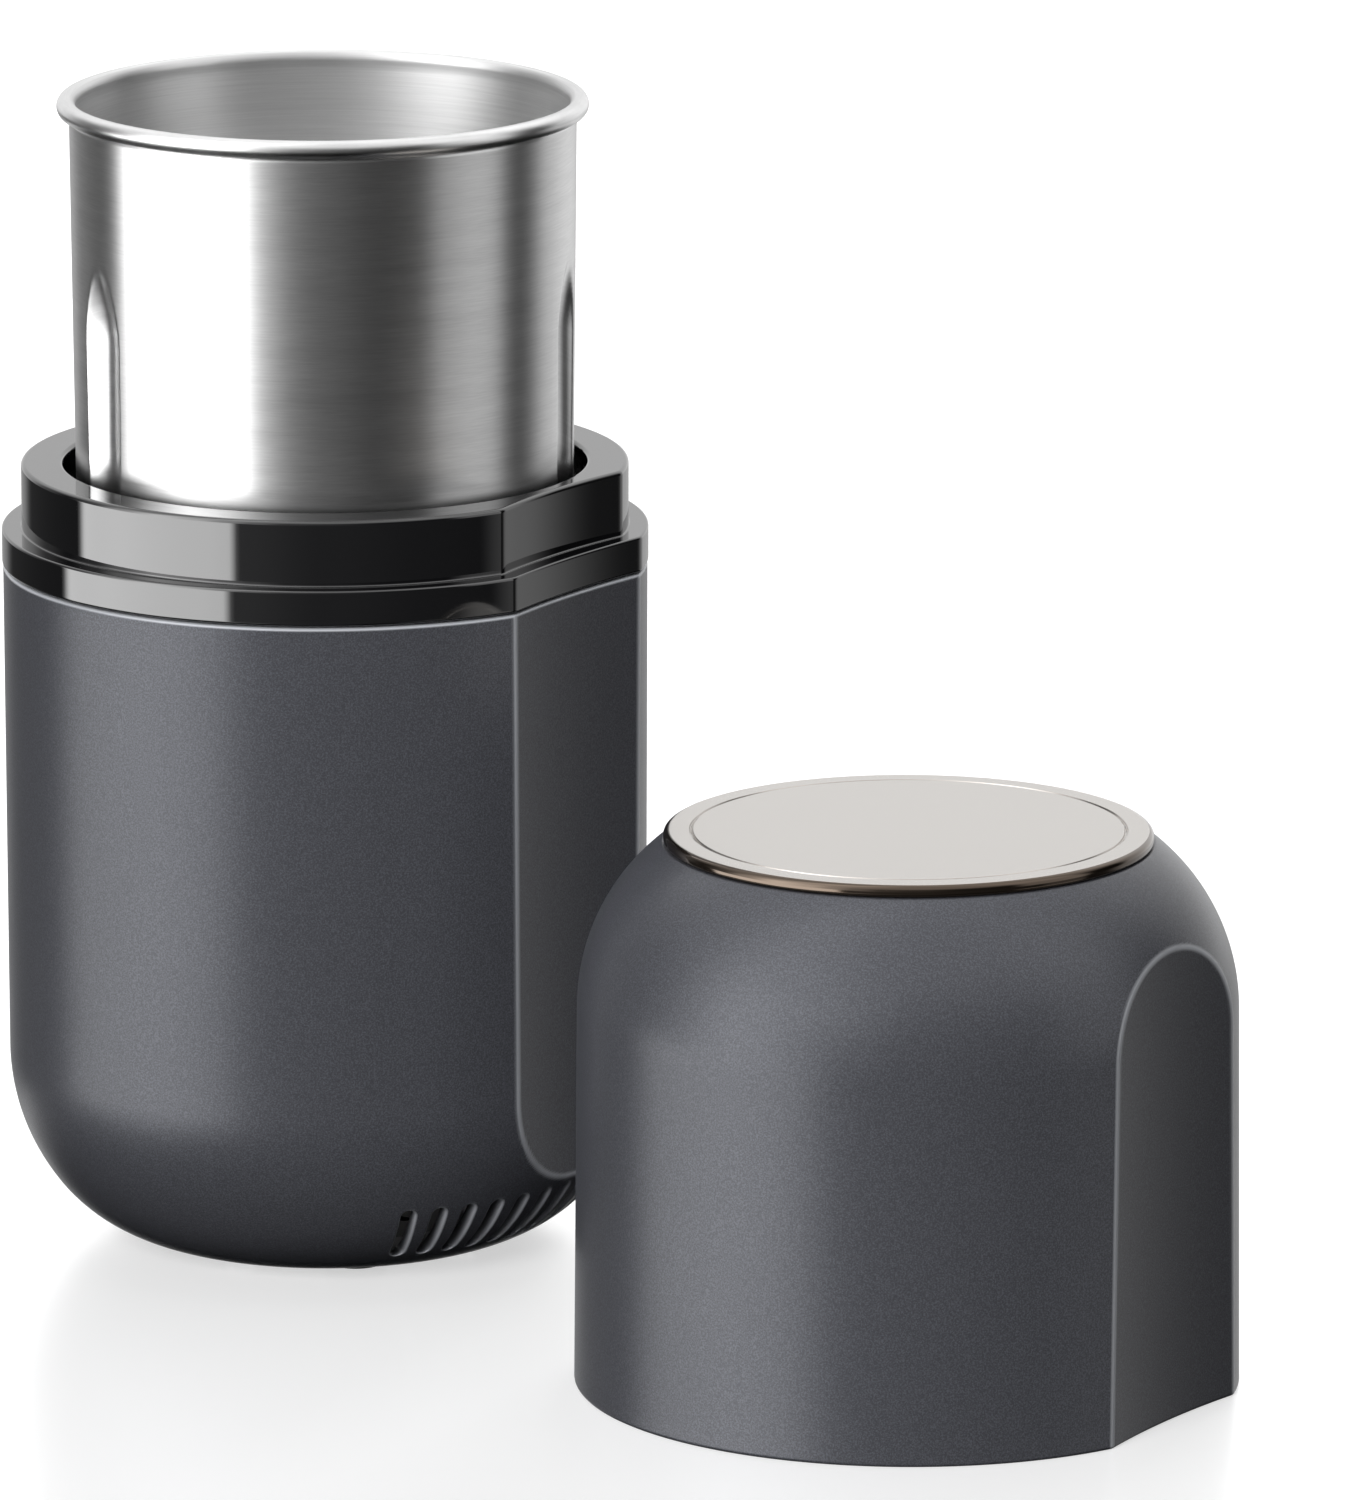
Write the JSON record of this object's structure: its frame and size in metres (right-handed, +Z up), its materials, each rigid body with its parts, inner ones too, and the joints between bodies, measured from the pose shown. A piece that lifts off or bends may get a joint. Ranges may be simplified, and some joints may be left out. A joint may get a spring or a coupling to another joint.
{
  "type": "electric spice grinder",
  "caption": "Electric spice grinder standing open: round motor base with a glossy collar, lift-out steel cup with a spinning blade, and a domed lid stood beside it.",
  "frame": {"origin": "on the table under the middle foot, on the motor's axis", "axes": "+Z up; the plain front of the housing faces -Y, the hollow thumb grip faces +X, the cord inlet faces +Y"},
  "size_m": [0.2113, 0.1214, 0.1735],
  "materials": {
    "shell_paint": "dark slate-grey metallic paint, fine grain, satin",
    "collar_gloss": "polished black",
    "plate_gloss": "glossy taupe bronze",
    "cup_steel": "brushed round the cup, polished rim",
    "blade_steel": "polished, ground edges",
    "black_plastic": "fine satin",
    "fan_plastic": "natural nylon",
    "rubber_black": "matt",
    "silicone": "translucent grey-white",
    "zinc_steel": "zinc plated",
    "shaft_steel": "ground",
    "bracket_alloy": "as cast",
    "lamination": "varnished laminations",
    "copper": "enamelled copper",
    "brass": "bright",
    "bronze": "sintered bronze",
    "carbon": "pressed carbon",
    "board": "solder resist",
    "component_yellow": "moulded",
    "component_white": "ceramic white",
    "switch_red": "moulded"
  },
  "bodies": {
    "base": {"body_shell": "shell_paint", "bottom_cover": "black_plastic", "rubber_feet": "rubber_black", "bottom_cover_screws": "zinc_steel", "cord_gland": "rubber_black", "collar": "collar_gloss", "cup_well": "black_plastic", "shaft_seal": "rubber_black", "collar_screws": "zinc_steel", "housing_screws": "zinc_steel", "switch_case": "black_plastic", "stator_core": "lamination", "field_coils": "copper", "upper_motor_bracket": "bracket_alloy", "lower_motor_bracket": "bracket_alloy", "upper_bearing": "bronze", "lower_bearing": "bronze", "stator_bolts": "zinc_steel", "brush_holders": "brass", "carbon_brushes": "carbon", "brush_springs": "zinc_steel", "motor_grommets": "rubber_black", "motor_mount_screws": "zinc_steel", "power_board": "board", "suppressor_capacitor": "component_yellow", "thermal_cutout": "component_white", "plunger_spring": "zinc_steel"},
    "rotor": {"motor_shaft": "shaft_steel", "armature_core": "lamination", "armature_windings": "copper", "commutator": "copper", "cooling_fan": "fan_plastic", "drive_coupling": "black_plastic"},
    "cup": {"grinding_cup": "cup_steel", "cup_base": "black_plastic", "cup_gasket": "silicone", "clamp_nut": "blade_steel", "blade_bearing": "bronze"},
    "blade_group": {"blade": "blade_steel", "blade_nut": "blade_steel", "thrust_washer": "zinc_steel", "blade_shaft": "shaft_steel", "cup_coupling": "black_plastic", "shaft_circlip": "zinc_steel"},
    "lid": {"lid_shell": "shell_paint", "lid_top_plate": "plate_gloss", "lid_screws": "zinc_steel", "lid_liner": "black_plastic", "lid_seal": "silicone"},
    "plunger": {"interlock_plunger": "black_plastic"},
    "switch_key": {"switch_button": "switch_red"}
  },
  "joints": [
    {"name": "motor_spin", "type": "hinge", "parent": "base", "child": "rotor", "pos_m": [0, 0, 0.053], "axis": [0, 0, 1], "continuous": true},
    {"name": "cup_lift", "type": "slide", "parent": "base", "child": "cup", "axis": [0, 0, 1], "range_m": [0, 0.09]},
    {"name": "blade_spin", "type": "hinge", "parent": "cup", "child": "blade_group", "pos_m": [0, 0, 0.11], "axis": [0, 0, 1], "continuous": true},
    {"name": "lid_lift", "type": "slide", "parent": "base", "child": "lid", "axis": [0, 0, 1], "range_m": [0, 0.18]},
    {"name": "interlock_press", "type": "slide", "parent": "base", "child": "plunger", "axis": [0, 0, -1], "range_m": [0, 0.002], "stiffness_N_per_m": 150, "springref_m": -0.002, "deforming": ["plunger_spring"]},
    {"name": "switch_press", "type": "slide", "parent": "base", "child": "switch_key", "axis": [0, 0, -1], "range_m": [0, 0.002]}
  ],
  "couplings": [
    {"joint": "blade_spin", "follows": "motor_spin", "ratio": 1},
    {"joint": "switch_press", "follows": "interlock_press", "ratio": 1}
  ]
}
